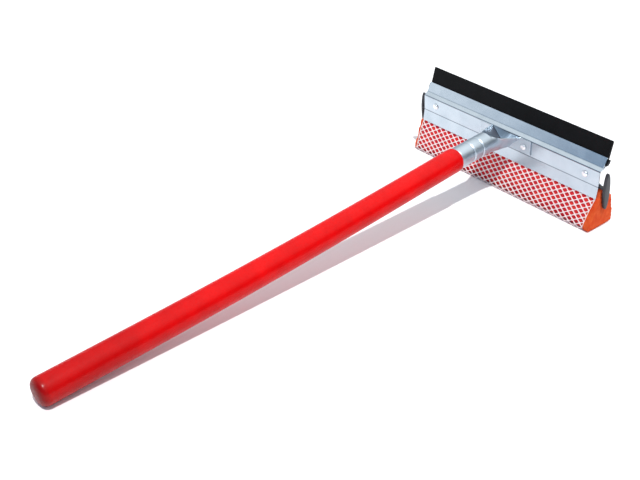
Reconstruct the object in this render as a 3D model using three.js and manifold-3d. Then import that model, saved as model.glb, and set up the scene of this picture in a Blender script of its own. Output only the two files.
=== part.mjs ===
// Window cleaning squeegee with a sponge, in millimetres, +Z up.
// It lies as it rests on a table: flat on the sponge, with the domed end of the handle touching the table.
// X runs along the blade, the handle leaves towards -Y, and the origin is the middle of the sponge's face.
import * as THREE from 'three';
import { mergeVertices } from 'three/addons/utils/BufferGeometryUtils.js';
import Module from 'manifold-3d';

const wasm = await Module();
wasm.setup();

// Driving dimensions
const gap = 0.3;                  // between pieces that touch on the real tool
const bladeLength = 203;          // an 8 inch blade
const plateLength = 203;
const backPlateLength = 200;
const sheet = 0.9;                // steel sheet of the plates
const stripBottom = [-13.0, 43.4];   // front face of the front plate, as [y, z]: foot of the riveted strip
const stripTop = [-15.6, 59.3];      // head of the riveted strip
const lipEnd = [-13.1, 31.8];
const flangeFoot = [-11.7, 61.9];
const flangeEnd = [-8.3, 70.9];
const bladeTip = [-4.5, 86.0];
const bladeTipThickness = 1.5;
const bladeRootThickness = 2.8;
const rootThickness = 4.4;        // bead of the blade, held between the flanges
const rootLength = 206;
const channelWidth = 6.0;         // between the two lower lips, for the neck of the sponge
const backLipEnd = 36.6;
const spongeLength = 209;
const spongeFront = -19.0;
const spongeBack = 18.5;
const netThickness = 0.7;
const netRight = 97.5;            // the net stops short of the sponge, further on this side
const netLeft = -101.5;
const neckTop = 41.8;
const handleRadius = 10.9;
const handleDome = 7;             // length of the domed end
const domePower = 3;              // 2 is an ellipse, and more is blunter
const handleShoulder = 409.55;    // from the start of the dome to the socket
const handleTilt = THREE.MathUtils.degToRad(5.79);
const handleBow = 3.2;            // the dowel is slightly bent, belly down
const handleEndY = -494.24;       // where the dome starts
const socketRadius = 10.0;
const socketWall = 1.0;
const socketEnd = 449.55;
const grooveDepth = 0.7;
const grooveHalf = 1.6;
const grooves = [425.75, 437.45];
const tenonEnd = 446;
const yokeFoot = 43.9;            // height of the yoke's keel on the plate
const yokeKeel = 3.4;             // half width of the keel there
const yokeRim = [16.8, 58.7];     // top corner of each wing on the plate, as [x, z]
const yokeReach = THREE.MathUtils.degToRad(174);   // how far round the tube the wings start, from below
const footWidth = 11.8;
const rivetRadius = 3.0;
const shankRadius = 1.75;
const outerRivetX = 86.8;
const yokeRivetX = 20.9;
const rivetHead = 1.5;
const rivetTail = 1.0;

const steel = { metalness: 0.9, roughness: 0.32 };
const squeegee = new THREE.Group();

function add(name, geometry, color, finish = {}) {
  const material = new THREE.MeshStandardMaterial({ color, roughness: 0.6, metalness: 0, ...finish });
  const mesh = new THREE.Mesh(geometry, material);
  mesh.name = name;
  squeegee.add(mesh);
  return mesh;
}

// Solids and geometries

function toSolid(geometry) {
  const bare = geometry.clone();
  bare.deleteAttribute('normal');
  bare.deleteAttribute('uv');
  const merged = mergeVertices(bare, 1e-4);
  const vertProperties = new Float32Array(merged.attributes.position.array);
  const triVerts = new Uint32Array(merged.index.array);
  return new wasm.Manifold(new wasm.Mesh({ numProp: 3, vertProperties, triVerts }));
}

function toGeometry(solid) {
  const { vertProperties, triVerts } = solid.getMesh();
  const geometry = new THREE.BufferGeometry();
  geometry.setAttribute('position', new THREE.BufferAttribute(new Float32Array(vertProperties), 3));
  geometry.setIndex(new THREE.BufferAttribute(new Uint32Array(triVerts), 1));
  geometry.computeVertexNormals();
  return geometry;
}

// An outline drawn as [y, z] points, swept along X between two ends
function alongX(outline, from, to) {
  const shape = new THREE.Shape(outline.map(([y, z]) => new THREE.Vector2(y, z)));
  const geometry = new THREE.ExtrudeGeometry(shape, { depth: to - from, bevelEnabled: false });
  const axes = new THREE.Matrix4().makeBasis(
    new THREE.Vector3(0, 1, 0), new THREE.Vector3(0, 0, 1), new THREE.Vector3(1, 0, 0));
  geometry.applyMatrix4(axes);
  geometry.translate(from, 0, 0);
  return geometry;
}

// The same path moved sideways to its left, with mitred corners
function offsetPath(path, distance) {
  return path.map((point, i) => {
    const before = path[Math.max(i - 1, 0)];
    const after = path[Math.min(i + 1, path.length - 1)];
    const incoming = i > 0 ? leftNormal(before, point) : leftNormal(point, after);
    const outgoing = i < path.length - 1 ? leftNormal(point, after) : incoming;
    const sum = [incoming[0] + outgoing[0], incoming[1] + outgoing[1]];
    const scale = distance * 2 / (sum[0] ** 2 + sum[1] ** 2);
    return [point[0] + sum[0] * scale, point[1] + sum[1] * scale];
  });
}

function leftNormal(a, b) {
  const length = Math.hypot(b[0] - a[0], b[1] - a[1]);
  return [-(b[1] - a[1]) / length, (b[0] - a[0]) / length];
}

// A closed outline for a bent sheet whose one face follows the path
function sheetOutline(path, thickness) {
  return [...path, ...offsetPath(path, thickness).reverse()];
}

const mix = (a, b, t) => a + (b - a) * t;

// Plates and the riveted strip

const stripAxis = new THREE.Vector3(0, stripTop[0] - stripBottom[0], stripTop[1] - stripBottom[1])
  .normalize();
const stripBackward = new THREE.Vector3(0, stripAxis.z, -stripAxis.y);
const stripY = (z) => mix(stripBottom[0], stripTop[0], (z - stripBottom[1]) / (stripTop[1] - stripBottom[1]));
const rivetHeight = (stripBottom[1] + stripTop[1]) / 2;

function rivetPlace(x) {
  return new THREE.Vector3(x, stripY(rivetHeight), rivetHeight);
}

// A round pin or hole square to the strip, from one depth behind its front face to another
function squareToStrip(x, radius, from, to) {
  const geometry = new THREE.CylinderGeometry(radius, radius, to - from, 24);
  geometry.translate(0, (from + to) / 2, 0);
  const turn = new THREE.Quaternion().setFromUnitVectors(new THREE.Vector3(0, 1, 0), stripBackward);
  geometry.applyQuaternion(turn);
  geometry.translate(...rivetPlace(x).toArray());
  return geometry;
}

function withRivetHoles(geometry, positions) {
  let solid = toSolid(geometry);
  for (const x of positions) {
    solid = solid.subtract(toSolid(squareToStrip(x, shankRadius + gap, -5, 10)));
  }
  return toGeometry(solid);
}

function addPlates() {
  const front = [lipEnd, stripBottom, stripTop, flangeFoot, flangeEnd];
  const holes = [-outerRivetX, -yokeRivetX, yokeRivetX, outerRivetX];
  const frontGeometry = alongX(sheetOutline(front, -sheet), -plateLength / 2, plateLength / 2);
  add('front_plate', withRivetHoles(frontGeometry, holes), 0xc4ced8, steel);

  const behind = (z) => stripY(z) + (sheet + gap) / stripBackward.y;
  const up = leftNormal(flangeEnd, flangeFoot);
  const channel = sheet + 2 * gap + rootThickness;
  const backFoot = [flangeFoot[0] + up[0] * channel, flangeFoot[1] + up[1] * channel];
  const backEnd = [flangeEnd[0] + up[0] * channel, flangeEnd[1] + up[1] * channel];
  const lipY = lipEnd[0] + sheet + channelWidth;
  const back = [[lipY + 0.3, backLipEnd], [lipY, 43.2], [behind(47), 47], [behind(57.4), 57.4],
    [backFoot[0], backFoot[1] + 0.4], backEnd];
  const backGeometry = alongX(sheetOutline(back, -sheet), -backPlateLength / 2, backPlateLength / 2);
  add('back_plate', withRivetHoles(backGeometry, holes), 0xb8c2cc, steel);
}

// Rubber blade: a flap that tapers to its tip, with a thick root between the flanges

function addBlade() {
  const up = leftNormal(flangeEnd, flangeFoot);
  const behindFlange = (point, depth) => [point[0] + up[0] * depth, point[1] + up[1] * depth];
  const face = sheet + gap;
  const flap = [
    behindFlange([mix(flangeFoot[0], flangeEnd[0], 0.3), mix(flangeFoot[1], flangeEnd[1], 0.3)], face),
    behindFlange(flangeEnd, face),
    bladeTip,
    [bladeTip[0] + bladeTipThickness * 0.9, bladeTip[1] - 1.6],
    behindFlange(flangeEnd, face + bladeRootThickness),
    behindFlange([mix(flangeFoot[0], flangeEnd[0], 0.3), mix(flangeFoot[1], flangeEnd[1], 0.3)],
      face + bladeRootThickness),
  ];
  const rootTop = [mix(flangeFoot[0], flangeEnd[0], 0.86), mix(flangeFoot[1], flangeEnd[1], 0.86)];
  const rootBottom = [mix(flangeFoot[0], flangeEnd[0], 0.1), mix(flangeFoot[1], flangeEnd[1], 0.1)];
  const root = [
    behindFlange(rootBottom, face + 0.5),
    behindFlange(rootTop, face),
    behindFlange(rootTop, face + rootThickness - 0.6),
    behindFlange(rootBottom, face + rootThickness - 0.1),
  ];
  const flapSolid = toSolid(alongX(flap.reverse(), -bladeLength / 2, bladeLength / 2));
  const rootSolid = toSolid(alongX(root.reverse(), -rootLength / 2, rootLength / 2));
  add('rubber_blade', toGeometry(flapSolid.add(rootSolid)), 0x17171a, { roughness: 0.75 });
}

// Sponge, its net sleeve and the strip that holds its neck in the channel

function spongeSkin() {
  const path = new THREE.Path();
  path.moveTo(-12.6, 31.2);
  path.quadraticCurveTo(-14.4, 28.5, -16.0, 20.5);
  path.quadraticCurveTo(spongeFront + 0.6, 10, spongeFront, 3);
  path.quadraticCurveTo(spongeFront, 0, spongeFront + 3, 0);
  path.lineTo(spongeBack - 3, 0);
  path.quadraticCurveTo(spongeBack, 0, spongeBack - 0.2, 3);
  path.quadraticCurveTo(spongeBack - 1.6, 12, 13.4, 18.5);
  path.quadraticCurveTo(9.6, 30.5, 3.4, 34);
  path.quadraticCurveTo(0, 36, -4.2, 36.1);
  return path.getPoints(6).map((p) => [p.x, p.y]);
}

function addSponge() {
  const skin = spongeSkin();
  const inside = offsetPath(skin, netThickness);
  add('net_sleeve', alongX([...skin, ...inside.reverse()], netLeft, netRight), 0xf4e4e2, { roughness: 0.8 });

  const body = offsetPath(skin, netThickness + gap);
  const neckFront = lipEnd[0] + sheet + gap;
  const neckBack = lipEnd[0] + sheet + channelWidth - gap;
  const neck = [[neckBack, body[body.length - 1][1] - 0.2], [neckBack, neckTop], [neckFront, neckTop],
    [neckFront, 31.5]];
  const outline = [...body, ...neck];
  add('sponge', alongX(outline, -spongeLength / 2, spongeLength / 2), 0xf0653c, { roughness: 0.95 });
}

const capLength = 38.5;
const capWidth = 9;
const capLean = THREE.MathUtils.degToRad(11.7);
const capCentre = [-6.6, 39.5];   // as [y, z]
const capInner = spongeLength / 2 + gap;
const capThickness = 1.8;         // between its rounded rims
const capBevel = 0.6;
const stripHalfWidth = 2.1;
const stripCentreY = lipEnd[0] + sheet + channelWidth / 2;
const coreBottom = neckTop + gap;
const coreTop = coreBottom + 1.4;
const coreHalfLength = 97;

function stripSection() {
  const [y0, y1] = [stripCentreY - stripHalfWidth, stripCentreY + stripHalfWidth];
  return [[y0, coreBottom], [y1, coreBottom], [y1, coreTop], [y0, coreTop]];
}

function addCoreAndCaps() {
  const dark = 0x46424a;
  add('core_strip', alongX(stripSection(), -coreHalfLength, coreHalfLength), dark, { roughness: 0.6 });

  const leaf = new THREE.Shape();
  leaf.absellipse(0, 0, capWidth / 2 - capBevel, capLength / 2 - capBevel, 0, Math.PI * 2);
  const options = { depth: capThickness, bevelThickness: capBevel, bevelSize: capBevel, bevelSegments: 2,
    curveSegments: 14 };
  for (const side of [-1, 1]) {
    const cap = new THREE.ExtrudeGeometry(leaf, options);
    const axes = new THREE.Matrix4().makeBasis(
      new THREE.Vector3(0, 1, 0), new THREE.Vector3(0, 0, 1), new THREE.Vector3(1, 0, 0));
    cap.rotateZ(capLean);
    cap.applyMatrix4(axes);
    const inner = side > 0 ? capInner + capBevel : -capInner - capBevel - capThickness;
    cap.translate(inner, ...capCentre);
    const stemEnds = [side * (coreHalfLength + gap), side * (capInner + 1.2)].sort((a, b) => a - b);
    const stem = alongX(stripSection(), ...stemEnds);
    const name = side < 0 ? 'end_cap_left' : 'end_cap_right';
    add(name, toGeometry(toSolid(cap).add(toSolid(stem))), dark, { roughness: 0.55 });
  }
}

// Handle and socket share one axis, which rises from the domed end on the table to the head

const domeSteps = 9;
const bowSteps = 12;

// The rounded end as [radius, station] points, from its pole to its full radius
function domeProfile() {
  const profile = [];
  const power = 2 / domePower;
  for (let i = 0; i <= domeSteps; i++) {
    const angle = i * Math.PI / (2 * domeSteps);
    profile.push([handleRadius * Math.sin(angle) ** power, -handleDome * Math.cos(angle) ** power]);
  }
  return profile;
}

const lowest = domeProfile().map(([r, s]) => r * Math.cos(handleTilt) - s * Math.sin(handleTilt));
const handleStart = new THREE.Vector3(0, handleEndY, Math.max(...lowest));

function ontoAxis(geometry) {
  geometry.rotateX(handleTilt);
  geometry.translate(...handleStart.toArray());
  return geometry;
}

// A groove as [radius, station] points, rolled into a wall of the given radius
function groovePoints(radius, station) {
  return [-1, -0.5, 0, 0.5, 1].map((f) =>
    [radius - grooveDepth * Math.cos(f * Math.PI / 2) ** 2, station + f * grooveHalf]);
}

function addHandle() {
  const tenon = socketRadius - socketWall - gap;
  const profile = domeProfile();
  for (let i = 1; i <= bowSteps; i++) profile.push([handleRadius, i * (handleShoulder - 4) / bowSteps]);
  profile.push([handleRadius - 0.4, handleShoulder - 1.8], [handleRadius - 1.4, handleShoulder - 0.4]);
  profile.push([tenon + 0.2, handleShoulder], [tenon, handleShoulder + 0.5]);
  for (const station of grooves) profile.push(...groovePoints(tenon, station));
  profile.push([tenon, tenonEnd - 1.5], [tenon - 1.5, tenonEnd], [0, tenonEnd]);
  const geometry = new THREE.LatheGeometry(profile.map(([r, s]) => new THREE.Vector2(Math.max(r, 0), s)), 28);
  const position = geometry.attributes.position;
  for (let i = 0; i < position.count; i++) {
    const along = THREE.MathUtils.clamp(position.getY(i) / handleShoulder, 0, 1);
    position.setZ(i, position.getZ(i) - handleBow * Math.sin(Math.PI * along));
  }
  add('handle', toGeometry(toSolid(ontoAxis(geometry))), 0xe8141a, { roughness: 0.35 });
}

// Socket: a tube with two rolled grooves, opening at the top into a yoke with a foot on each side

function socketTube() {
  const mouth = handleShoulder + gap;
  const outer = [[socketRadius - 0.3, mouth], [socketRadius, mouth + 0.5]];
  const inner = [[socketRadius - socketWall, mouth]];
  for (const station of grooves) {
    outer.push(...groovePoints(socketRadius, station));
    inner.push(...groovePoints(socketRadius - socketWall, station));
  }
  outer.push([socketRadius, socketEnd]);
  inner.push([socketRadius - socketWall, socketEnd]);
  const loop = [...outer, ...inner.reverse(), outer[0]];
  return ontoAxis(new THREE.LatheGeometry(loop.map(([r, s]) => new THREE.Vector2(r, s)), 28));
}

const footFace = (z) => stripY(z) - gap / stripBackward.y;

// Where the yoke's wall meets the plate, by distance from the keel (0) to the rim (1)
function yokeOnPlate(f, shift) {
  const leg = [yokeRim[0] - yokeKeel, yokeRim[1] - yokeFoot];
  const legLength = Math.hypot(...leg);
  const reach = Math.abs(f) * (yokeKeel + legLength);
  const onLeg = Math.max(reach - yokeKeel, 0) / legLength;
  const turn = THREE.MathUtils.smoothstep(reach, yokeKeel * 0.3, yokeKeel * 1.7);
  const outward = [leg[1] / legLength * turn, mix(-1, -leg[0] / legLength, turn)];
  const x = Math.min(reach, yokeKeel) + onLeg * leg[0] + outward[0] * shift;
  return [Math.sign(f) * x, yokeFoot + socketWall / 2 + onLeg * leg[1] + outward[1] * shift];
}

function yokePoint(f, t, shift) {
  const turn = f * yokeReach;
  const radius = socketRadius - socketWall / 2 + shift;
  const ring = new THREE.Vector3(radius * Math.sin(turn), socketEnd - 1.5, -radius * Math.cos(turn));
  ring.applyAxisAngle(new THREE.Vector3(1, 0, 0), handleTilt).add(handleStart);
  const [x, z] = yokeOnPlate(f, shift);
  const opened = Math.pow(t, 1 - 0.5 * Math.abs(f));
  return new THREE.Vector3(mix(ring.x, x, opened), mix(ring.y, footFace(z), t), mix(ring.z, z, opened));
}

// A closed sheet from two grids of points, its outer and its inner face
function closedSheet(columns, rows, outerAt, innerAt) {
  const points = [];
  const index = [];
  const width = columns + 1;
  for (const face of [outerAt, innerAt]) {
    for (let j = 0; j <= rows; j++) {
      for (let i = 0; i <= columns; i++) points.push(...face(i / columns, j / rows).toArray());
    }
  }
  const outer = (i, j) => j * width + i;
  const inner = (i, j) => (rows + 1) * width + j * width + i;
  const quad = (a, b, c, d) => index.push(a, c, b, a, d, c);
  for (let j = 0; j < rows; j++) {
    for (let i = 0; i < columns; i++) {
      quad(outer(i, j), outer(i + 1, j), outer(i + 1, j + 1), outer(i, j + 1));
      quad(inner(i, j), inner(i, j + 1), inner(i + 1, j + 1), inner(i + 1, j));
    }
    quad(outer(0, j), outer(0, j + 1), inner(0, j + 1), inner(0, j));
    quad(outer(columns, j), inner(columns, j), inner(columns, j + 1), outer(columns, j + 1));
  }
  for (let i = 0; i < columns; i++) {
    quad(outer(i, 0), inner(i, 0), inner(i + 1, 0), outer(i + 1, 0));
    quad(outer(i, rows), outer(i + 1, rows), inner(i + 1, rows), inner(i, rows));
  }
  const geometry = new THREE.BufferGeometry();
  geometry.setAttribute('position', new THREE.Float32BufferAttribute(points, 3));
  geometry.setIndex(index);
  return geometry;
}

function bracketFoot(side) {
  const outline = [[yokeKeel - 0.2, yokeFoot + 0.1], [yokeRim[0] + footWidth, yokeFoot + 0.3],
    [yokeRim[0] + footWidth, yokeRim[1]], [yokeRim[0] - 0.3, yokeRim[1]]];
  const rise = (z) => (z - stripBottom[1]) / stripAxis.z;
  const shape = new THREE.Shape(outline.map(([x, z]) => new THREE.Vector2(side * x, rise(z))));
  const geometry = new THREE.ExtrudeGeometry(shape, { depth: socketWall, bevelEnabled: false });
  const axes = new THREE.Matrix4().makeBasis(
    new THREE.Vector3(1, 0, 0), stripAxis, stripBackward.clone().negate());
  geometry.applyMatrix4(axes);
  const back = new THREE.Vector3(0, ...stripBottom).addScaledVector(stripBackward, -gap);
  geometry.translate(...back.toArray());
  return geometry;
}

function addSocketBracket() {
  const slack = 0.05;             // keeps the yoke's start inside the tube's wall
  const yoke = closedSheet(28, 9,
    (u, t) => yokePoint(2 * u - 1, t, socketWall / 2 - slack),
    (u, t) => yokePoint(2 * u - 1, t, -socketWall / 2 + slack));
  let solid = toSolid(socketTube()).add(toSolid(yoke));
  for (const side of [-1, 1]) {
    solid = solid.add(toSolid(bracketFoot(side)));
    solid = solid.subtract(toSolid(squareToStrip(side * yokeRivetX, shankRadius + gap, -5, 5)));
  }
  add('socket_bracket', toGeometry(solid), 0xb9c4cf, steel);
}

// Rivets: a domed head in front, a shank through the stack and a flatter clinched head behind

function addRivet(name, x, front, back) {
  const profile = [[0, front - rivetHead], [rivetRadius * 0.45, front - rivetHead * 0.93],
    [rivetRadius * 0.8, front - rivetHead * 0.6], [rivetRadius, front - 0.15], [rivetRadius, front],
    [shankRadius, front], [shankRadius, back], [rivetRadius * 0.9, back],
    [rivetRadius * 0.85, back + rivetTail * 0.6], [rivetRadius * 0.5, back + rivetTail],
    [0, back + rivetTail]];
  const geometry = new THREE.LatheGeometry(profile.map(([r, s]) => new THREE.Vector2(r, s)), 20);
  const turn = new THREE.Quaternion().setFromUnitVectors(new THREE.Vector3(0, 1, 0), stripBackward);
  geometry.applyQuaternion(turn);
  geometry.translate(...rivetPlace(x).toArray());
  add(name, toGeometry(toSolid(geometry)), 0xe6eaee, steel);
}

function addRivets() {
  const back = 2 * sheet + 2 * gap;
  const onPlate = -gap;
  const onFoot = -(2 * gap + socketWall);
  addRivet('rivet_outer_left', -outerRivetX, onPlate, back);
  addRivet('rivet_outer_right', outerRivetX, onPlate, back);
  addRivet('rivet_yoke_left', -yokeRivetX, onFoot, back);
  addRivet('rivet_yoke_right', yokeRivetX, onFoot, back);
}

addHandle();
addSocketBracket();
addPlates();
addBlade();
addSponge();
addCoreAndCaps();
addRivets();

export default squeegee;
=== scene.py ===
import math

import bmesh
import bpy
from mathutils import Matrix, Vector


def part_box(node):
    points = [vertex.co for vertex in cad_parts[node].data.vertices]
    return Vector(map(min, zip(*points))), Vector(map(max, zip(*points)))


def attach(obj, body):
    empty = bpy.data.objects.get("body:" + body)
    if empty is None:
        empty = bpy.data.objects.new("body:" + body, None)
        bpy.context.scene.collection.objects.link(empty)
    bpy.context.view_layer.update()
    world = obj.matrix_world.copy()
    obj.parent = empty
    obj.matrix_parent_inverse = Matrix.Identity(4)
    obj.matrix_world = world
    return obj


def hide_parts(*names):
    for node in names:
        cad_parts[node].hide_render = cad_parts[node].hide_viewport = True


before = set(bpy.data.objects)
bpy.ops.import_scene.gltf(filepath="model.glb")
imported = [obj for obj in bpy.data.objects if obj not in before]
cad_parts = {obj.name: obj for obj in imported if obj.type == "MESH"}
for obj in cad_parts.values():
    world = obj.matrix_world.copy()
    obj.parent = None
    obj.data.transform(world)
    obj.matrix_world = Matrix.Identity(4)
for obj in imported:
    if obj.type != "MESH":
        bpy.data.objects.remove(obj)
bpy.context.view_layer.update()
mm = 0.001

print("stage: frame loaded")


# small helpers

def deselectAll():
    bpy.ops.object.select_all(action="DESELECT")


def activate(piece):
    deselectAll()
    piece.select_set(True)
    bpy.context.view_layer.objects.active = piece


def added(name):
    piece = bpy.context.active_object
    piece.name = name
    piece.data.name = name
    return piece


def beginEdit(piece, mode="VERT"):
    activate(piece)
    bpy.ops.object.mode_set(mode="EDIT")
    bpy.ops.mesh.select_mode(type=mode)
    bpy.ops.mesh.select_all(action="DESELECT")


def endEdit():
    bpy.ops.object.mode_set(mode="OBJECT")


def pickVerts(piece, wanted):
    mesh = bmesh.from_edit_mesh(piece.data)
    for vert in mesh.verts:
        vert.select = wanted(vert.co)
    mesh.select_flush(True)
    bmesh.update_edit_mesh(piece.data)


def pickEdges(piece, wanted):
    mesh = bmesh.from_edit_mesh(piece.data)
    for edge in mesh.edges:
        edge.select = wanted(edge)
    bmesh.update_edit_mesh(piece.data)


def cleanNormals(piece):
    beginEdit(piece)
    bpy.ops.mesh.select_all(action="SELECT")
    bpy.ops.mesh.remove_doubles(threshold=0.00001)
    bpy.ops.mesh.normals_make_consistent(inside=False)
    endEdit()


def useModifier(piece, kind, **settings):
    activate(piece)
    modifier = piece.modifiers.new(kind.lower(), kind)
    for key, value in settings.items():
        setattr(modifier, key, value)
    bpy.ops.object.modifier_apply(modifier=modifier.name)


def softEdges(piece, width, angle=30, segments=2):
    useModifier(piece, "BEVEL", width=width * mm, segments=segments, limit_method="ANGLE",
                angle_limit=math.radians(angle), harden_normals=False)
    activate(piece)
    bpy.ops.object.shade_smooth_by_angle(angle=math.radians(angle))
    useModifier(piece, "WEIGHTED_NORMAL", keep_sharp=True)     # keeps the flat faces flat to the light


def joinShapes(piece, other, operation="UNION"):
    useModifier(piece, "BOOLEAN", object=other, operation=operation, solver="EXACT")
    bpy.data.objects.remove(other, do_unlink=True)


def turned(name, profile, segments=64, point=(0, 0, 0), rotation=(0, 0, 0)):
    # a round piece, extruded ring by ring up Z from (radius, height) pairs in mm, then laid in its place
    (radius, height), rest = profile[0], profile[1:]
    bpy.ops.mesh.primitive_circle_add(vertices=segments, radius=radius * mm, fill_type="NGON",
                                      location=(0, 0, height * mm))
    piece = added(name)
    bpy.ops.object.transform_apply(location=True, rotation=True, scale=True)
    beginEdit(piece, "FACE")
    bpy.ops.mesh.select_all(action="SELECT")
    for newRadius, newHeight in rest:
        step = (0, 0, (newHeight - height) * mm)
        bpy.ops.mesh.extrude_region_move(TRANSFORM_OT_translate={"value": step})
        grow = newRadius / radius
        bpy.ops.transform.resize(value=(grow, grow, 1), center_override=(0, 0, newHeight * mm))
        radius, height = newRadius, newHeight
    endEdit()
    piece.rotation_euler = rotation
    piece.location = point
    activate(piece)
    bpy.ops.object.transform_apply(location=True, rotation=True, scale=True)
    cleanNormals(piece)
    return piece


def copied(piece, name, move=(0, 0, 0), mirrored=False):
    activate(piece)
    bpy.ops.object.duplicate()
    twin = added(name)
    twin.location = move
    if mirrored:
        twin.scale = (-1, 1, 1)
    bpy.ops.object.transform_apply(location=True, rotation=True, scale=True)
    if mirrored:
        cleanNormals(twin)
    return twin


def barFromOutline(name, outline, left, right):
    # a straight bar along X whose section is the [y, z] outline, in mm
    bpy.ops.mesh.primitive_circle_add(vertices=len(outline), radius=0.01, fill_type="NGON")
    piece = added(name)
    for vert, (y, z) in zip(piece.data.vertices, outline):
        vert.co = (left * mm, y * mm, z * mm)
    beginEdit(piece, "FACE")
    bpy.ops.mesh.select_all(action="SELECT")
    bpy.ops.mesh.extrude_region_move(TRANSFORM_OT_translate={"value": ((right - left) * mm, 0, 0)})
    endEdit()
    cleanNormals(piece)
    return piece


def bentSheet(name, path, length, thickness, bendRadius):
    # a pressed sheet: the first strip is a plane, and each further strip is extruded from its edge
    bpy.ops.mesh.primitive_plane_add(size=1)
    piece = added(name)
    half = length / 2 * mm
    (y0, z0), (y1, z1) = path[0], path[1]
    for vert in piece.data.vertices:
        top = vert.co.y > 0
        vert.co = (half * (1 if vert.co.x > 0 else -1), (y1 if top else y0) * mm, (z1 if top else z0) * mm)
    beginEdit(piece)
    pickVerts(piece, lambda co: abs(co.z - z1 * mm) < 1e-6 and abs(co.y - y1 * mm) < 1e-6)
    for (ya, za), (yb, zb) in zip(path[1:], path[2:]):
        step = (0, (yb - ya) * mm, (zb - za) * mm)
        bpy.ops.mesh.extrude_region_move(TRANSFORM_OT_translate={"value": step})
    bpy.ops.mesh.select_mode(type="EDGE")
    pickEdges(piece, lambda edge: len(edge.link_faces) == 2)
    bpy.ops.mesh.bevel(offset=bendRadius * mm, segments=4, affect="EDGES")
    bpy.ops.mesh.select_all(action="SELECT")
    bpy.ops.mesh.normals_make_consistent(inside=False)
    endEdit()
    outward = piece.data.polygons[0].normal.y
    useModifier(piece, "SOLIDIFY", thickness=thickness * mm, offset=-1 if outward < 0 else 1)
    cleanNormals(piece)
    return piece


# driving sizes of the head, in mm: [y, z] places on the section that all its pieces share

head = {
    "sheet": 0.9,
    "gap": 0.3,
    "plateLength": 203,
    "backPlateLength": 200,
    "lipEnd": (-13.1, 31.8),
    "stripBottom": (-13.0, 43.4),
    "stripTop": (-15.6, 59.3),
    "flangeFoot": (-11.7, 61.9),
    "flangeEnd": (-8.3, 70.9),
    "channelWidth": 6.0,
    "backLipEnd": 36.6,
    "outerRivetX": 86.8,
    "yokeRivetX": 20.9,
}
stripRise = (Vector(head["stripTop"]) - Vector(head["stripBottom"])).normalized()
stripBack = Vector((0, stripRise.y, -stripRise.x))    # square to the riveted strip, away from the handle
rivetHeight = (head["stripBottom"][1] + head["stripTop"][1]) / 2


def stripY(z):
    (y0, z0), (y1, z1) = head["stripBottom"], head["stripTop"]
    return y0 + (y1 - y0) * (z - z0) / (z1 - z0)


def behindFlange(share, depth):
    # a point behind the upper flange's face: share is 0 at its foot and 1 at its end
    foot, end = Vector(head["flangeFoot"]), Vector(head["flangeEnd"])
    along = (end - foot).normalized()
    point = foot.lerp(end, share) + Vector((along.y, -along.x)) * depth
    return point.x, point.y


# camera

camera = {
    "place": (0.47256, -0.71330, 0.44786),
    "aim": (-0.00150, -0.24650, 0.03000),
    "roll": 3.34,             # degrees
    "lens": 55.36,            # mm, on the sensor below
    "sensor": 36,
    "farthest": 30,           # metres
}


def makeCamera():
    data = bpy.data.cameras.new("camera")
    data.lens = camera["lens"]
    data.sensor_width = camera["sensor"]
    data.clip_end = camera["farthest"]
    view = bpy.data.objects.new("camera", data)
    bpy.context.scene.collection.objects.link(view)
    look = (Vector(camera["aim"]) - Vector(camera["place"])).to_track_quat("-Z", "Y").to_matrix().to_4x4()
    roll = Matrix.Rotation(math.radians(camera["roll"]), 4, "Z")
    view.matrix_world = Matrix.Translation(camera["place"]) @ look @ roll
    bpy.context.scene.camera = view


# light and floor

studio = {
    "sunFrom": (0.285, -0.2, 1.0),
    "sunStrength": 2.7,
    "sunAngle": 2.2,          # degrees
    "skyStrength": 0.81,
    "backdrop": (1.2, 1.2, 1.2, 1),       # what the camera sees past the floor
    "floorSize": 60,          # metres
    # what stands round the set and shows in the steel: its direction, the cosines between which it fades
    # in, and its light
    "cards": (
        ((0.1, 0.62, 0.68), 0.55, 0.86, (1.5, 1.56, 1.56, 1)),        # a softbox above and behind
        ((0.2, -0.95, 0.15), 0.5, 0.8, (0.17, 0.35, 0.56, 1)),        # a dark blue wall in front
        ((0.8, 0.58, 0.1), 0.78, 0.94, (0.1, 0.11, 0.14, 1)),         # a dark curtain on the right
        ((-0.5, -0.1, 0.86), 0.85, 0.95, (1.35, 1.4, 1.42, 1)),       # a white ceiling lit by the lamps
        ((-0.75, -0.64, 0.18), 0.915, 0.965, (1.5, 1.55, 1.6, 1)),    # a bright window low on the left
    ),
}


def hexColor(text):
    channels = [int(text[i:i + 2], 16) / 255 for i in (0, 2, 4)]
    linear = [c / 12.92 if c <= 0.04045 else ((c + 0.055) / 1.055) ** 2.4 for c in channels]
    return (*linear, 1)


def addNode(tree, kind, links=(), **settings):
    # links are (input name, socket) pairs; settings are node properties or input values
    node = tree.nodes.new(kind)
    for key, value in settings.items():
        if hasattr(node, key):
            setattr(node, key, value)
        else:
            node.inputs[key.replace("_", " ")].default_value = value
    for name, socket in links:
        tree.links.new(socket, node.inputs[name])
    return node


def setRamp(ramp, *stops):
    # stops are (position, hex colour)
    elements = ramp.color_ramp.elements
    while len(elements) < len(stops):
        elements.new(1.0)
    for element, (position, colour) in zip(elements, stops):
        element.position = position
        element.color = hexColor(colour)


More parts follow.
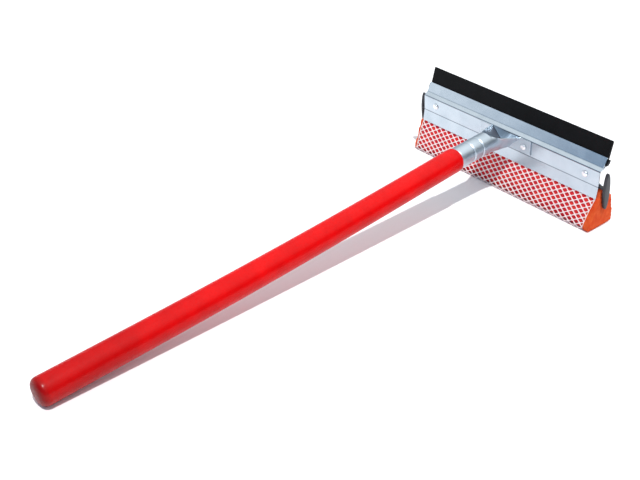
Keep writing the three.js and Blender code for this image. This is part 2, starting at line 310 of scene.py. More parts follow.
def makeSky():
    # a soft studio: pale overhead, cooler and darker towards the horizon, with the cards round it
    world = bpy.data.worlds.new("studio")
    world.use_nodes = True
    tree = world.node_tree
    direction = tree.nodes.new("ShaderNodeTexCoord").outputs["Generated"]
    split = addNode(tree, "ShaderNodeSeparateXYZ", [("Vector", direction)])
    height = addNode(tree, "ShaderNodeValToRGB", [("Fac", split.outputs["Z"])])
    setRamp(height, (0.0, "B4C3D2"), (0.25, "C3CFDA"), (0.6, "D0D9E0"), (1.0, "D6DDE3"))
    colour = height.outputs["Color"]
    for side, start, end, light in studio["cards"]:
        facing = addNode(tree, "ShaderNodeVectorMath", [(0, direction)], operation="DOT_PRODUCT")
        facing.inputs[1].default_value = Vector(side).normalized()
        share = addNode(tree, "ShaderNodeMapRange", [("Value", facing.outputs["Value"])], From_Min=start,
                        From_Max=end)
        mix = addNode(tree, "ShaderNodeMix", [(0, share.outputs[0]), (6, colour)], data_type="RGBA")
        mix.inputs[7].default_value = light
        colour = mix.outputs[2]
    background = tree.nodes["Background"]
    seen = tree.nodes.new("ShaderNodeLightPath").outputs["Is Camera Ray"]
    backdrop = addNode(tree, "ShaderNodeMix", [(0, seen), (6, colour)], data_type="RGBA")
    backdrop.inputs[7].default_value = studio["backdrop"]
    tree.links.new(backdrop.outputs[2], background.inputs["Color"])
    background.inputs["Strength"].default_value = studio["skyStrength"]
    return world


def makeStudio():
    scene = bpy.context.scene
    scene.view_settings.view_transform = "Standard"
    sun = bpy.data.lights.new("sun", "SUN")
    sun.energy = studio["sunStrength"]
    sun.angle = math.radians(studio["sunAngle"])
    lamp = bpy.data.objects.new("sun", sun)
    lamp.rotation_euler = Vector(studio["sunFrom"]).to_track_quat("Z", "Y").to_euler()
    scene.collection.objects.link(lamp)
    scene.world = makeSky()
    bpy.ops.mesh.primitive_plane_add(size=studio["floorSize"], location=(0, 0, 0))
    floor = added("floor")
    floor.data.materials.append(paintedFloor())


# materials

def newMaterial(name, **shader):
    material = bpy.data.materials.new(name)
    material.use_nodes = True
    tree = material.node_tree
    surface = tree.nodes["Principled BSDF"]
    for key, value in shader.items():
        surface.inputs[key.replace("_", " ")].default_value = value
    place = tree.nodes.new("ShaderNodeTexCoord").outputs["Object"]
    return material, tree, surface, place


def paintedFloor():
    # matt white studio board: nothing but an even pale ground
    material, _, surface, _ = newMaterial("matt white board", Roughness=0.95, Specular_IOR_Level=0.1)
    surface.inputs["Base Color"].default_value = hexColor("F2F0F0")
    return material


def zincPlatedSteel(name, creases=(), dullness=(0.14, 0.3)):
    # cold rolled steel sheet, zinc plated: cool bright metal with fine rolling streaks along the sheet,
    # and a thin dark line of painted shade along each pressed crease, as (height, width) in mm
    material, tree, surface, place = newMaterial(name, Metallic=1.0)
    streakSize = 0.35         # mm across a rolling streak, drawn coarser than real so that it shows
    cloudSize = 14            # mm across a patch of thicker or thinner plating
    stretch = addNode(tree, "ShaderNodeMapping", [("Vector", place)], Scale=(0.03, 1, 1))
    streaks = addNode(tree, "ShaderNodeTexNoise", [("Vector", stretch.outputs[0])],
                      Scale=1 / (streakSize * mm), Detail=3.0, Roughness=0.6)
    clouds = addNode(tree, "ShaderNodeTexNoise", [("Vector", place)], Scale=1 / (cloudSize * mm), Detail=2.0)
    tone = addNode(tree, "ShaderNodeValToRGB", [("Fac", clouds.outputs["Fac"])])
    setRamp(tone, (0.3, "B7C2CC"), (0.7, "C3CDD6"))
    colour = tone.outputs["Color"]
    if creases:
        height = addNode(tree, "ShaderNodeSeparateXYZ", [("Vector", place)]).outputs["Z"]
        for z, width in creases:
            away = addNode(tree, "ShaderNodeMath", [(0, height)], operation="SUBTRACT")
            away.inputs[1].default_value = z * mm
            gap = addNode(tree, "ShaderNodeMath", [(0, away.outputs[0])], operation="ABSOLUTE")
            # painted shade: a thin dark line along each pressed crease
            creaseShade = addNode(tree, "ShaderNodeMapRange", [("Value", gap.outputs[0])],
                           From_Min=width * 0.35 * mm, From_Max=width * 0.65 * mm, To_Min=0.6, To_Max=0.0)
            mix = addNode(tree, "ShaderNodeMix", [(0, creaseShade.outputs[0]), (6, colour)], data_type="RGBA")
            mix.inputs[7].default_value = hexColor("2A2F3E")
            colour = mix.outputs[2]
    tree.links.new(colour, surface.inputs["Base Color"])
    dull = addNode(tree, "ShaderNodeMapRange", [("Value", streaks.outputs["Fac"])], To_Min=dullness[0],
                   To_Max=dullness[1])
    tree.links.new(dull.outputs[0], surface.inputs["Roughness"])
    bump = addNode(tree, "ShaderNodeBump", [("Height", streaks.outputs["Fac"])], Strength=0.12,
                   Distance=0.05 * mm)
    tree.links.new(bump.outputs["Normal"], surface.inputs["Normal"])
    return material


def brightRivetMetal():
    # cold headed steel rivet, bright plated: small polished domes that catch the light
    material, tree, surface, place = newMaterial("bright plated rivet", Metallic=1.0, Roughness=0.36)
    surface.inputs["Base Color"].default_value = hexColor("F1F3F5")
    grain = addNode(tree, "ShaderNodeTexNoise", [("Vector", place)], Scale=1 / (0.6 * mm), Detail=2.0)
    bump = addNode(tree, "ShaderNodeBump", [("Height", grain.outputs["Fac"])], Strength=0.15,
                   Distance=0.05 * mm)
    tree.links.new(bump.outputs["Normal"], surface.inputs["Normal"])
    return material


def enamelledHardwood():
    # turned hardwood dipped in red gloss enamel: orange peel over faint grain, darker towards the domed end,
    # and painted shade on the domed end itself
    material, tree, surface, place = newMaterial("red enamel on turned hardwood", Specular_IOR_Level=0.03,
                                                 Coat_Weight=0.3, Coat_Roughness=0.27)
    turn = addNode(tree, "ShaderNodeMapping", [("Vector", place)], Rotation=(-handleTilt, 0, 0),
                   Scale=(1, 0.05, 1))
    grain = addNode(tree, "ShaderNodeTexNoise", [("Vector", turn.outputs[0])], Scale=1 / (0.9 * mm),
                    Detail=4.0, Roughness=0.65)
    blotches = addNode(tree, "ShaderNodeTexNoise", [("Vector", place)], Scale=1 / (16 * mm), Detail=4.0)
    tone = addNode(tree, "ShaderNodeValToRGB", [("Fac", blotches.outputs["Fac"])])
    setRamp(tone, (0.3, "C40103"), (0.7, "D80305"))
    split = addNode(tree, "ShaderNodeSeparateXYZ", [("Vector", place)])
    fromEnd = addNode(tree, "ShaderNodeMapRange", [("Value", split.outputs["Y"])],
                   From_Min=(handle["endY"] - handle["dome"]) * mm, From_Max=(handle["endY"] + 147) * mm)
    # painted shade on the domed end, which faces away from the light, and darker along the grip towards the
    # end
    endShadeAndDarkening = addNode(tree, "ShaderNodeValToRGB", [("Fac", fromEnd.outputs[0])])
    setRamp(endShadeAndDarkening, (0.0, "8C8C8C"), (0.045, "DCDCDC"), (0.3, "DCDCDC"), (1.0, "FFFFFF"))
    shade = addNode(tree, "ShaderNodeVectorMath", [(0, tone.outputs["Color"]), (1, endShadeAndDarkening.outputs["Color"])],
                    operation="MULTIPLY")
    tree.links.new(shade.outputs[0], surface.inputs["Base Color"])
    peel = addNode(tree, "ShaderNodeTexNoise", [("Vector", place)], Scale=1 / (2.2 * mm), Detail=3.0,
                   Roughness=0.7)
    first = addNode(tree, "ShaderNodeBump", [("Height", grain.outputs["Fac"])], Strength=0.3,
                    Distance=0.12 * mm)
    second = addNode(tree, "ShaderNodeBump", [("Height", peel.outputs["Fac"]),
                                              ("Normal", first.outputs["Normal"])],
                     Strength=0.9, Distance=0.4 * mm)
    dull = addNode(tree, "ShaderNodeMapRange", [("Value", peel.outputs["Fac"])], From_Min=0.35,
                   From_Max=0.65, To_Min=0.24, To_Max=0.5)
    tree.links.new(dull.outputs[0], surface.inputs["Roughness"])
    tree.links.new(second.outputs["Normal"], surface.inputs["Normal"])
    return material


def extrudedRubber():
    # extruded black rubber strip: matt, with a faint bloom and fine lengthwise marks
    material, tree, surface, place = newMaterial("extruded black rubber", Roughness=0.55,
                                                 Specular_IOR_Level=0.14)
    stretch = addNode(tree, "ShaderNodeMapping", [("Vector", place)], Scale=(0.08, 1, 1))
    marks = addNode(tree, "ShaderNodeTexNoise", [("Vector", stretch.outputs[0])], Scale=1 / (0.8 * mm),
                    Detail=3.0)
    bloom = addNode(tree, "ShaderNodeTexNoise", [("Vector", place)], Scale=1 / (9 * mm), Detail=4.0)
    tone = addNode(tree, "ShaderNodeValToRGB", [("Fac", bloom.outputs["Fac"])])
    setRamp(tone, (0.35, "020203"), (0.75, "08080B"))
    tree.links.new(tone.outputs["Color"], surface.inputs["Base Color"])
    bump = addNode(tree, "ShaderNodeBump", [("Height", marks.outputs["Fac"])], Strength=0.3,
                   Distance=0.08 * mm)
    tree.links.new(bump.outputs["Normal"], surface.inputs["Normal"])
    return material


def openCellFoam():
    # cut polyurethane foam: orange and full of fine pores, with painted shade turning it crimson as far as
    # the net reaches
    material, tree, surface, place = newMaterial("cut open cell foam", Roughness=0.95,
                                                 Specular_IOR_Level=0.12)
    split = addNode(tree, "ShaderNodeSeparateXYZ", [("Vector", place)])
    lean = addNode(tree, "ShaderNodeMath", [(0, split.outputs["Z"])], operation="MULTIPLY")
    lean.inputs[1].default_value = net["lean"] / net["top"]
    upright = addNode(tree, "ShaderNodeMath", [(0, split.outputs["X"]), (1, lean.outputs[0])],
                      operation="SUBTRACT")
    # where the net covers the foam, which gets the painted shade below
    left = addNode(tree, "ShaderNodeMapRange", [("Value", split.outputs["X"])],
                   From_Min=(net["left"] + 1) * mm, From_Max=(net["left"] + 2.5) * mm)
    right = addNode(tree, "ShaderNodeMapRange", [("Value", upright.outputs[0])],
                    From_Min=(net["right"] - 1.2) * mm, From_Max=(net["right"] - 2.6) * mm)
    underNetShade = addNode(tree, "ShaderNodeMath", [(0, left.outputs[0]), (1, right.outputs[0])],
                    operation="MULTIPLY")
    pores = addNode(tree, "ShaderNodeTexVoronoi", [("Vector", place)], Scale=1 / (0.9 * mm))
    clouds = addNode(tree, "ShaderNodeTexNoise", [("Vector", place)], Scale=1 / (7 * mm), Detail=3.0)
    bare = addNode(tree, "ShaderNodeValToRGB", [("Fac", clouds.outputs["Fac"])])
    setRamp(bare, (0.3, "CC431D"), (0.7, "DE5F30"))
    # painted shade: the foam under the net is a deeper crimson, for the shade in the net's holes
    shadedUnderNet = addNode(tree, "ShaderNodeValToRGB", [("Fac", clouds.outputs["Fac"])])
    setRamp(shadedUnderNet, (0.3, "C02032"), (0.7, "DC3A34"))
    colour = addNode(tree, "ShaderNodeMix", [(0, underNetShade.outputs[0]), (6, bare.outputs["Color"]),
                                             (7, shadedUnderNet.outputs["Color"])], data_type="RGBA")
    tree.links.new(colour.outputs[2], surface.inputs["Base Color"])
    bump = addNode(tree, "ShaderNodeBump", [("Height", pores.outputs["Distance"])], Strength=0.6,
                   Distance=0.35 * mm)
    tree.links.new(bump.outputs["Normal"], surface.inputs["Normal"])
    return material


def knittedNet():
    # knitted white nylon: each strand is a few twisted threads, soft and slightly shiny
    material, tree, surface, place = newMaterial("knitted nylon net", Roughness=0.55, Sheen_Weight=0.2)
    # tinted pink: painted red light from the foam showing through the thin strands
    surface.inputs["Base Color"].default_value = hexColor("F4DEDC")
    threads = addNode(tree, "ShaderNodeTexWave", [("Vector", place)], Scale=1 / (0.5 * mm), Distortion=3.0)
    bump = addNode(tree, "ShaderNodeBump", [("Height", threads.outputs["Fac"])], Strength=0.3,
                   Distance=0.1 * mm)
    tree.links.new(bump.outputs["Normal"], surface.inputs["Normal"])
    return material


def mouldedPlastic():
    # injection moulded polyethylene, dark grey: satin, with a fine even texture
    material, tree, surface, place = newMaterial("moulded polyethylene", Roughness=0.5)
    grain = addNode(tree, "ShaderNodeTexNoise", [("Vector", place)], Scale=1 / (0.5 * mm), Detail=3.0)
    cloud = addNode(tree, "ShaderNodeTexNoise", [("Vector", place)], Scale=1 / (6 * mm), Detail=2.0)
    tone = addNode(tree, "ShaderNodeValToRGB", [("Fac", cloud.outputs["Fac"])])
    setRamp(tone, (0.0, "1C1B1E"), (1.0, "36343A"))
    tree.links.new(tone.outputs["Color"], surface.inputs["Base Color"])
    bump = addNode(tree, "ShaderNodeBump", [("Height", grain.outputs["Fac"])], Strength=0.25,
                   Distance=0.08 * mm)
    tree.links.new(bump.outputs["Normal"], surface.inputs["Normal"])
    return material


def finishPiece(piece, material, nodes):
    piece.data.materials.clear()
    piece.data.materials.append(material)
    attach(piece, "root")
    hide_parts(*nodes)


# handle: a dowel with a domed end and a tenon, slightly bent along its length

handle = {
    "radius": 10.9,
    "dome": 7.0,
    "domePower": 3,           # 2 is an ellipse, and more is blunter
    "shoulder": 409.55,
    "tenonRadius": 8.7,
    "tenonEnd": 446,
    "tilt": 5.79,             # degrees
    "endY": -494.24,
    "bow": 3.2,
    "shaftSteps": 40,
    "edgeRadius": 2,          # of the rounded shoulder
    "edgeDepth": 2.2,
    "edgeSteps": 6,
}
handleTilt = math.radians(handle["tilt"])


def domeProfile(steps=14):
    # the rounded end as (radius, station) pairs, from its pole to its full radius
    power = 2 / handle["domePower"]
    profile = []
    for i in range(steps + 1):
        angle = i * math.pi / (2 * steps)
        outward, onward = math.sin(angle) ** power, max(math.cos(angle), 0) ** power
        profile.append((handle["radius"] * outward, -handle["dome"] * onward))
    return profile


handleHeight = max(r * math.cos(handleTilt) - s * math.sin(handleTilt) for r, s in domeProfile())
handleStart = Vector((0, handle["endY"], handleHeight))


def makeHandle():
    radius, shoulder = handle["radius"], handle["shoulder"]
    edge, depth = handle["edgeRadius"], handle["edgeDepth"]
    profile = [(0.5, -handle["dome"])] + domeProfile()[1:]       # starts from a small flat at the pole
    steps = handle["shaftSteps"]
    profile += [(radius, (shoulder - 4) * i / steps) for i in range(1, steps + 1)]
    for i in range(1, handle["edgeSteps"] + 1):
        angle = i * math.pi / (2 * handle["edgeSteps"])
        profile.append((radius - edge + edge * math.cos(angle), shoulder - depth + depth * math.sin(angle)))
    profile += [(handle["tenonRadius"], shoulder + 0.2), (handle["tenonRadius"], handle["tenonEnd"])]
    piece = turned("wooden_handle", profile)
    for vert in piece.data.vertices:
        share = min(max(vert.co.z / (shoulder * mm), 0), 1)
        vert.co.y += handle["bow"] * mm * math.sin(math.pi * share)     # local +Y becomes down
    piece.rotation_euler = (-(math.pi / 2 - handleTilt), 0, 0)
    piece.location = handleStart * mm
    activate(piece)
    bpy.ops.object.transform_apply(location=True, rotation=True, scale=True)
    bpy.ops.object.shade_smooth_by_angle(angle=math.radians(40))
    finishPiece(piece, enamelledHardwood(), ["handle"])


# socket: a tube with two rolled grooves that opens at the top into a yoke with two feet

socket = {
    "radius": 10.0,
    "wall": 1.0,
    "end": 449.55,
    "grooves": (425.75, 437.45),
    "grooveDepth": 0.7,
    "grooveHalf": 1.6,
    "keelHeight": 43.9,
    "keelHalf": 3.4,
    "rim": (16.8, 58.7),
    "footWidth": 11.8,
    "segments": 47,
    "rows": 14,
    "nudge": 0.5,             # how far each row is extruded before it is laid in its place
}


def yokeOnPlate(share):
    # where the yoke's wall meets the plate, from the keel (0) to the rim (1), as (x, z)
    legX, legZ = socket["rim"][0] - socket["keelHalf"], socket["rim"][1] - socket["keelHeight"]
    legLength = math.hypot(legX, legZ)
    reach = abs(share) * (socket["keelHalf"] + legLength)
    onLeg = max(reach - socket["keelHalf"], 0) / legLength
    x = min(reach, socket["keelHalf"]) + onLeg * legX
    z = socket["keelHeight"] + socket["wall"] / 2 + onLeg * legZ
    return math.copysign(x, share), z


def rowShare(row):
    return (row / socket["rows"]) ** 1.3          # the first rows are the closest together


def footY(z):
    return stripY(z) - (head["gap"] + socket["wall"] / 2) / stripBack.y


def yokePoint(share, ringPoint, t):
    x, z = yokeOnPlate(share)
    opened = t ** (1 - 0.5 * abs(share))
    y = ringPoint.y + (footY(z) - ringPoint.y) * t
    return Vector((ringPoint.x + (x - ringPoint.x) * opened, y, ringPoint.z + (z - ringPoint.z) * opened))


def makeSocket():
    middle = socket["radius"] - socket["wall"] / 2
    mouth = handle["shoulder"] + head["gap"]
    stations = [(mouth, middle - 0.25), (mouth + 0.6, middle), (mouth + 6, middle)]
    for groove in socket["grooves"]:
        for i in range(-4, 5):
            dip = socket["grooveDepth"] * math.cos(i * math.pi / 8) ** 2
            stations.append((groove + socket["grooveHalf"] * i / 4, middle - dip))
    stations.append((socket["end"], middle))
    count = socket["segments"]
    bpy.ops.mesh.primitive_circle_add(vertices=count, radius=stations[0][1] * mm, fill_type="NOTHING",
                                      location=(0, 0, stations[0][0] * mm))
    piece = added("steel_socket")
    # the circle's first point is at local +Y, which turns to the bottom, so the top falls between two points
    bpy.ops.object.transform_apply(location=True, rotation=True, scale=True)
    beginEdit(piece)
    bpy.ops.mesh.select_all(action="SELECT")
    for (s0, r0), (s1, r1) in zip(stations, stations[1:]):
        bpy.ops.mesh.extrude_region_move(TRANSFORM_OT_translate={"value": (0, 0, (s1 - s0) * mm)})
        bpy.ops.transform.resize(value=(r1 / r0, r1 / r0, 1), center_override=(0, 0, s1 * mm))
    endEdit()
    piece.rotation_euler = (-(math.pi / 2 - handleTilt), 0, 0)
    piece.location = handleStart * mm
    activate(piece)
    bpy.ops.object.transform_apply(location=True, rotation=True, scale=True)
    growYoke(piece, count)
    growFeet(piece)
    cleanNormals(piece)
    useModifier(piece, "SOLIDIFY", thickness=socket["wall"] * mm, offset=0, use_even_offset=True)
    cleanNormals(piece)
    for side in (-1, 1):
        joinShapes(piece, rivetHole(side * head["yokeRivetX"]), "DIFFERENCE")
    softEdges(piece, 0.18, angle=38)
    finishPiece(piece, zincPlatedSteel("zinc plated drawn steel", dullness=(0.34, 0.5)), ["socket_bracket"])


def axisPoint(station):
    return (handleStart + Vector((0, math.cos(handleTilt), math.sin(handleTilt))) * station) * mm


def growYoke(piece, count):
    end = axisPoint(socket["end"])
    along = Vector((0, math.cos(handleTilt), math.sin(handleTilt)))
    beginEdit(piece, "EDGE")
    mesh = bmesh.from_edit_mesh(piece.data)
    up = Vector((0, -math.sin(handleTilt), math.cos(handleTilt)))
    ring = {}                 # the tube's last points, each with its share of half a turn from the bottom
    for vert in mesh.verts:
        away = vert.co - end
        if abs(away.dot(along)) < 1e-5:
            ring[vert.index] = math.atan2(away.x, -away.dot(up)) / math.pi
    topShare = 1 - 1.5 / count
    for edge in mesh.edges:
        ends = [v.index for v in edge.verts]
        onRing = all(i in ring for i in ends)
        edge.select = onRing and not all(abs(ring[i]) > topShare for i in ends)
    bmesh.update_edit_mesh(piece.data)
    mesh.verts.ensure_lookup_table()
    starts = {share: mesh.verts[i].co / mm for i, share in ring.items()}
    limit = max(abs(s) for s in starts)
    nudge = Vector((0, socket["nudge"] * mm, 0))
    for row in range(1, socket["rows"] + 1):
        bpy.ops.mesh.extrude_region_move(TRANSFORM_OT_translate={"value": nudge})
        before = {s: yokePoint(s / limit, starts[s], rowShare(row - 1)) * mm for s in starts}
        mesh = bmesh.from_edit_mesh(piece.data)
        for vert in mesh.verts:
            if vert.select:
                share = min(before, key=lambda s: (before[s] + nudge - vert.co).length)
                vert.co = yokePoint(share / limit, starts[share], rowShare(row)) * mm
        bmesh.update_edit_mesh(piece.data)
    endEdit()


def onFold(co):
    # whether a point is on the line where the yoke turns into a foot
    x, z = abs(co.x) / mm, co.z / mm
    aside = x > socket["keelHalf"] - 0.3 and z > socket["keelHeight"] + 0.3
    return aside and abs(co.y / mm - footY(z)) < 0.02


def growFeet(piece):
    reach = socket["rim"][0] + socket["footWidth"]
    for side in (-1, 1):
        beginEdit(piece, "VERT")
        pickVerts(piece, lambda co: onFold(co) and co.x * side > 0)
        bpy.ops.mesh.select_mode(type="EDGE")
        for step in (2, 1):
            bpy.ops.mesh.extrude_region_move(TRANSFORM_OT_translate={"value": (side * step * mm, 0, 0)})
        mesh = bmesh.from_edit_mesh(piece.data)
        for vert in mesh.verts:
            if vert.select:
                vert.co.x = side * reach * mm
        bmesh.update_edit_mesh(piece.data)
        endEdit()


def rivetHole(x):
    radius = rivet["shank"] + head["gap"]
    centre = Vector((x, stripY(rivetHeight), rivetHeight)) * mm
    bpy.ops.mesh.primitive_cylinder_add(vertices=32, radius=radius * mm, depth=14 * mm, location=centre,
                                        rotation=stripBack.to_track_quat("Z", "Y").to_euler())
    return added("rivet_hole")


# plates

def makePlates():
    # the two pressed creases, each with a thin line of painted shade
    creases = [(head["stripBottom"][1], 0.9), (head["stripTop"][1] - 0.4, 0.9)]
    steel = zincPlatedSteel("zinc plated rolled steel, creased", creases)
    sheet, gap = head["sheet"], head["gap"]
    front = [head["lipEnd"], head["stripBottom"], head["stripTop"], head["flangeFoot"], head["flangeEnd"]]
    channel = sheet + 2 * gap + blade["rootThickness"]
    foot, end = behindFlange(0, channel), behindFlange(1, channel)
    behind = (sheet + gap) / stripBack.y
    lipY = head["lipEnd"][0] + sheet + head["channelWidth"]
    back = [(lipY + 0.3, head["backLipEnd"]), (lipY, 43.2), (stripY(47) + behind, 47),
            (stripY(57.4) + behind, 57.4), (foot[0], foot[1] + 0.4), end]
    for name, path, length, node in (("front_sheet", front, head["plateLength"], "front_plate"),
                                     ("back_sheet", back, head["backPlateLength"], "back_plate")):
        piece = bentSheet(name, path, length, sheet, 0.9)
        for x in (-head["outerRivetX"], -head["yokeRivetX"], head["yokeRivetX"], head["outerRivetX"]):
            joinShapes(piece, rivetHole(x), "DIFFERENCE")
        softEdges(piece, 0.12, angle=40)
        finishPiece(piece, steel, [node])


# rivets

rivet = {"radius": 3.0, "shank": 1.75, "head": 1.5, "tail": 1.0}


def makeRivets():
    metal = brightRivetMetal()
    radius, tail, steps = rivet["radius"], rivet["tail"], 8
    back = 2 * head["sheet"] + 2 * head["gap"]
    onPlate = -head["gap"]
    onFoot = -(2 * head["gap"] + socket["wall"])
    for kind, x, front in (("outer", head["outerRivetX"], onPlate), ("yoke", head["yokeRivetX"], onFoot)):
        profile = [(0.3, front - rivet["head"])]
        for i in range(1, steps + 1):
            angle = i * math.pi / (2 * steps)
            profile.append((radius * math.sin(angle), front - rivet["head"] * math.cos(angle)))
        profile += [(rivet["shank"], front + 0.01), (rivet["shank"], back), (radius * 0.9, back + 0.01),
                    (radius * 0.85, back + 0.6 * tail), (radius * 0.55, back + tail)]
        centre = Vector((x, stripY(rivetHeight), rivetHeight)) * mm
        piece = turned("domed_rivet_" + kind + "_right", profile, 40, centre,
                       stripBack.to_track_quat("Z", "Y").to_euler())
        softEdges(piece, 0.1, angle=50)
        twin = copied(piece, "domed_rivet_" + kind + "_left", (-2 * x * mm, 0, 0))
        finishPiece(piece, metal, ["rivet_" + kind + "_right"])
        finishPiece(twin, metal, ["rivet_" + kind + "_left"])


# rubber blade

blade = {
    "length": 203,
    "rootLength": 206,
    "tip": (-4.5, 86.0),
    "flapThickness": 2.8,
    "rootThickness": 4.4,
}


def makeBlade():
    face = head["sheet"] + head["gap"]
    flapBack, rootBack = face + blade["flapThickness"], face + blade["rootThickness"]
    tipY, tipZ = blade["tip"]
    flap = [behindFlange(0.3, face), behindFlange(1, face), (tipY, tipZ), (tipY + 1.35, tipZ - 1.6),
            behindFlange(1, flapBack), behindFlange(0.3, flapBack)]
    root = [behindFlange(0.1, face + 0.5), behindFlange(0.86, face), behindFlange(0.86, rootBack - 0.6),
            behindFlange(0.1, rootBack - 0.1)]
    piece = barFromOutline("blade_strip", flap, -blade["length"] / 2, blade["length"] / 2)
    bead = barFromOutline("blade_root", root, -blade["rootLength"] / 2, blade["rootLength"] / 2)
    beginEdit(bead, "EDGE")
    low = min(z for _, z in root) * mm

    def lowerEnd(edge):
        a, b = edge.verts[0].co, edge.verts[1].co
        level = abs(a.x - b.x) < 1e-6 and abs(a.x) > blade["rootLength"] / 2 * mm - 1e-5
        return level and max(a.z, b.z) < low + 2.2 * mm

    pickEdges(bead, lowerEnd)
    bpy.ops.mesh.bevel(offset=4.0 * mm, segments=3, affect="EDGES")
    endEdit()
    cleanNormals(bead)
    joinShapes(piece, bead)
    cleanNormals(piece)
    softEdges(piece, 0.22, angle=28)
    finishPiece(piece, extrudedRubber(), ["rubber_blade"])


# sponge and net

foam = {
    "length": 209,
    "front": -19.0,
    "back": 18.5,
    "neckTop": 41.8,
    "inset": 1.15,            # how far the netted foam lies inside the net's outer face
    "voxel": 2.4,
    "pressure": 4.0,
    "swell": 0.55,            # the most that it bulges
    "bareProud": 0.7,         # how much fuller it is where no net holds it in
    "cornerProud": 4.0,       # and how much sharper its corners are there
    "neckFrom": 31,           # above this the lips hold it, and it bulges no more than neckSwell
    "neckSwell": 0.2,
    "grain": 2.2,             # mm across a lump of its torn surface
    "frames": 20,             # of the pressure simulation
}
net = {
    "left": -101.5,
    "right": 97.3,
    "lean": 3.7,              # the right edge runs this much further out at the top
    "top": 31,
    "cellX": 7.5,
    "cellAround": 5.45,
    "strand": 0.72,
    "corner": 1.0,            # how far each cell corner is rounded off
    "thickness": 0.65,
    "rounding": 0.16,         # of a strand's edges
}


def bezier(a, b, c, steps=8):
    a, b, c = Vector(a), Vector(b), Vector(c)
    times = [i / steps for i in range(1, steps + 1)]
    return [a * (1 - t) ** 2 + b * 2 * t * (1 - t) + c * t * t for t in times]


def skinPath():
    # the outside of the netted sponge as (y, z), from the front lip round the bottom to the back lip
    front, back = foam["front"], foam["back"]
    path = [Vector((-12.6, 31.2))]
    path += bezier((-12.6, 31.2), (-14.4, 28.5), (-16.0, 20.5))
    path += bezier((-16.0, 20.5), (front + 0.6, 10), (front, 3))
    path += bezier((front, 3), (front, 0), (front + 3, 0))
    path += [Vector((back - 3, 0))]
    path += bezier((back - 3, 0), (back, 0), (back - 0.2, 3))
    path += bezier((back - 0.2, 3), (back - 1.6, 12), (13.4, 18.5))
    path += bezier((13.4, 18.5), (9.6, 30.5), (3.4, 34))
    path += bezier((3.4, 34), (0, 36), (-4.2, 36.1))
    return path


def insetPath(path, distance):
    moved = []
    for i, point in enumerate(path):
        before, after = path[max(i - 1, 0)], path[min(i + 1, len(path) - 1)]
        run = (after - before).normalized()
        moved.append(point + Vector((-run.y, run.x)) * distance)
    return moved


def alongPath(path, distance):
    for a, b in zip(path, path[1:]):
        step = (b - a).length
        if distance <= step or b is path[-1]:
            return a + (b - a).normalized() * distance
        distance -= step


def eased(value, start, end):
    share = min(max((value - start) / (end - start), 0), 1)
    return share * share * (3 - 2 * share)


def makeFoam():
    body = insetPath(skinPath(), foam["inset"])
    lip = head["lipEnd"][0] + head["sheet"]
    neckFront, neckBack = lip + 1.2, lip + head["channelWidth"] - head["gap"]
    neck = [(neckBack, body[-1].y), (neckBack, foam["neckTop"]), (neckFront, foam["neckTop"]),
            (neckFront, foam["neckFrom"] + 1)]
    outline = [(p.x, p.y) for p in body] + neck
    half = foam["length"] / 2 - 0.7
    piece = barFromOutline("foam_block", outline, -half, half)
    useModifier(piece, "REMESH", mode="VOXEL", voxel_size=foam["voxel"] * mm)
    rest = [vert.co.copy() for vert in piece.data.vertices]
    swell(piece)
    for vert, start in zip(piece.data.vertices, rest):
        most = foam["neckSwell"] if start.z > foam["neckFrom"] * mm else foam["swell"]
        move = vert.co - start
        if move.length > most * mm:
            vert.co = start + move.normalized() * most * mm
    useModifier(piece, "SUBSURF", levels=2, render_levels=2)
    lumps = bpy.data.textures.new("lumps", "CLOUDS")
    lumps.noise_scale = foam["grain"] * mm
    useModifier(piece, "DISPLACE", texture=lumps, strength=0.4 * mm, mid_level=0.5)
    normals = [vert.normal.copy() for vert in piece.data.vertices]
    for vert, normal in zip(piece.data.vertices, normals):
        x, z = vert.co.x / mm, vert.co.z / mm
        edge = net["right"] + net["lean"] * z / net["top"]
        bare = max(eased(x, edge - 2, edge + 2), eased(-x, -net["left"] - 1, -net["left"] + 2))
        corner = 1 - max(abs(value) for value in normal)
        proud = (foam["bareProud"] + foam["cornerProud"] * corner) * bare * (1 - eased(z, 30, 34))
        vert.co += normal * proud * mm
        vert.co.x = min(max(vert.co.x, -foam["length"] / 2 * mm), foam["length"] / 2 * mm)
        vert.co.z = max(vert.co.z, 0.1 * mm)
    activate(piece)
    bpy.ops.object.shade_smooth()
    finishPiece(piece, openCellFoam(), ["sponge"])


def swell(piece):
    # the foam pushes outwards from inside, held by its neck
    held = piece.vertex_groups.new(name="held")
    neck = [v.index for v in piece.data.vertices if v.co.z > 33 * mm and v.co.y < -5 * mm]
    held.add(neck, 1.0, "REPLACE")
    cloth = piece.modifiers.new("cloth", "CLOTH")
    settings = cloth.settings
    settings.use_pressure = True
    settings.uniform_pressure_force = foam["pressure"]
    settings.vertex_group_mass = "held"
    settings.effector_weights.gravity = 0
    scene = bpy.context.scene
    for frameNumber in range(1, foam["frames"] + 1):
        scene.frame_set(frameNumber)
    activate(piece)
    bpy.ops.object.modifier_apply(modifier="cloth")
    scene.frame_set(1)


def netPath():
    # the skin, with both edges tucked up inside the steel lips
    lip = head["lipEnd"][0] + head["sheet"]
    skin = skinPath()
    return [Vector((lip + 0.35, 35.5)), Vector((lip + 0.3, 32.5)), Vector((lip - 0.45, 30.6))] + skin[2:]


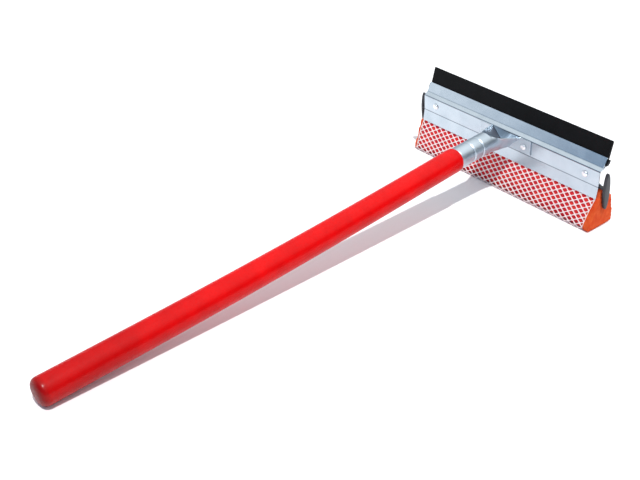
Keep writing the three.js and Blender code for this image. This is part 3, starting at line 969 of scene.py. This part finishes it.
def makeNet():
    # a grid is turned into diamonds, laid round the foam, and each diamond is opened into a cell
    middle = insetPath(netPath(), net["thickness"] / 2)
    girth = sum((b - a).length for a, b in zip(middle, middle[1:]))
    across = round((net["right"] + net["lean"] / 2 - net["left"]) / net["cellX"])
    around = round(girth / net["cellAround"])
    bpy.ops.mesh.primitive_grid_add(x_subdivisions=across, y_subdivisions=around, size=2)
    piece = added("net_cover")
    beginEdit(piece, "EDGE")
    bpy.ops.mesh.select_all(action="SELECT")
    bpy.ops.mesh.poke()
    bpy.ops.mesh.select_all(action="DESELECT")

    def square(edge):
        a, b = edge.verts[0].co, edge.verts[1].co
        return min(abs(a.x - b.x), abs(a.y - b.y)) < 1e-5 and len(edge.link_faces) == 2

    pickEdges(piece, square)
    bpy.ops.mesh.dissolve_edges(use_verts=False)
    endEdit()
    for vert in piece.data.vertices:
        point = alongPath(middle, (vert.co.y + 1) / 2 * girth)
        right = net["right"] + net["lean"] * min(point.y / net["top"], 1)
        x = net["left"] + (vert.co.x + 1) / 2 * (right - net["left"])
        vert.co = (x * mm, point.x * mm, point.y * mm)
    beginEdit(piece, "FACE")
    bpy.ops.mesh.select_all(action="SELECT")
    bpy.ops.mesh.inset(thickness=net["strand"] / 2 * mm, use_individual=True, use_boundary=True)
    bpy.ops.mesh.delete(type="FACE")
    bpy.ops.mesh.select_mode(type="VERT")
    mesh = bmesh.from_edit_mesh(piece.data)
    for vert in mesh.verts:
        vert.select = vert.is_boundary and len(vert.link_edges) == 3
    bmesh.update_edit_mesh(piece.data)
    bpy.ops.mesh.bevel(offset=net["corner"] * mm, segments=2, affect="VERTICES")
    bpy.ops.mesh.select_all(action="SELECT")
    bpy.ops.mesh.normals_make_consistent(inside=False)
    endEdit()
    useModifier(piece, "SOLIDIFY", thickness=net["thickness"] * mm, offset=0)
    useModifier(piece, "BEVEL", width=net["rounding"] * mm, segments=1, limit_method="ANGLE",
                angle_limit=math.radians(40))
    activate(piece)
    bpy.ops.object.shade_smooth()
    finishPiece(piece, knittedNet(), ["net_sleeve"])


# end caps and core strip

cap = {
    "length": 38.5,
    "width": 8.4,
    "thickness": 3.0,
    "rounding": 1.2,
    "centre": (-6.6, 39.5),
    "lean": 11.7,             # degrees
}


def makeCaps():
    plastic = mouldedPlastic()
    (_, y0, z0), (x1, y1, z1) = [tuple(value / mm for value in corner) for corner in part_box("core_strip")]
    inner = foam["length"] / 2 + head["gap"]
    bpy.ops.mesh.primitive_circle_add(vertices=64, radius=1, fill_type="NGON")
    piece = added("oval_cap_right")
    for vert in piece.data.vertices:
        vert.co = (0, vert.co.x * cap["width"] / 2 * mm, vert.co.y * cap["length"] / 2 * mm)
    beginEdit(piece, "FACE")
    bpy.ops.mesh.select_all(action="SELECT")
    bpy.ops.mesh.extrude_region_move(TRANSFORM_OT_translate={"value": (cap["thickness"] * mm, 0, 0)})
    endEdit()
    cleanNormals(piece)
    useModifier(piece, "BEVEL", width=cap["rounding"] * mm, segments=5, limit_method="ANGLE",
                angle_limit=math.radians(50))
    piece.rotation_euler = (math.radians(cap["lean"]), 0, 0)
    piece.location = (inner * mm, cap["centre"][0] * mm, cap["centre"][1] * mm)
    activate(piece)
    bpy.ops.object.transform_apply(location=True, rotation=True, scale=True)
    section = [(y0, z0), (y1, z0), (y1, z1), (y0, z1)]
    joinShapes(piece, barFromOutline("stem", section, x1 + head["gap"], inner + 1.2))
    cleanNormals(piece)
    activate(piece)
    bpy.ops.object.shade_smooth_by_angle(angle=math.radians(40))
    twin = copied(piece, "oval_cap_left", mirrored=True)
    finishPiece(piece, plastic, ["end_cap_right"])
    finishPiece(twin, plastic, ["end_cap_left"])
    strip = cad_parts["core_strip"]
    strip.data.materials.clear()
    strip.data.materials.append(plastic)


makeCamera()
makeStudio()
print("stage: camera and studio")
makeHandle()
print("stage: handle")
makeSocket()
print("stage: socket")
makePlates()
makeRivets()
print("stage: plates and rivets")
makeBlade()
print("stage: blade")
makeFoam()
makeNet()
print("stage: sponge and net")
makeCaps()
print("stage: caps")
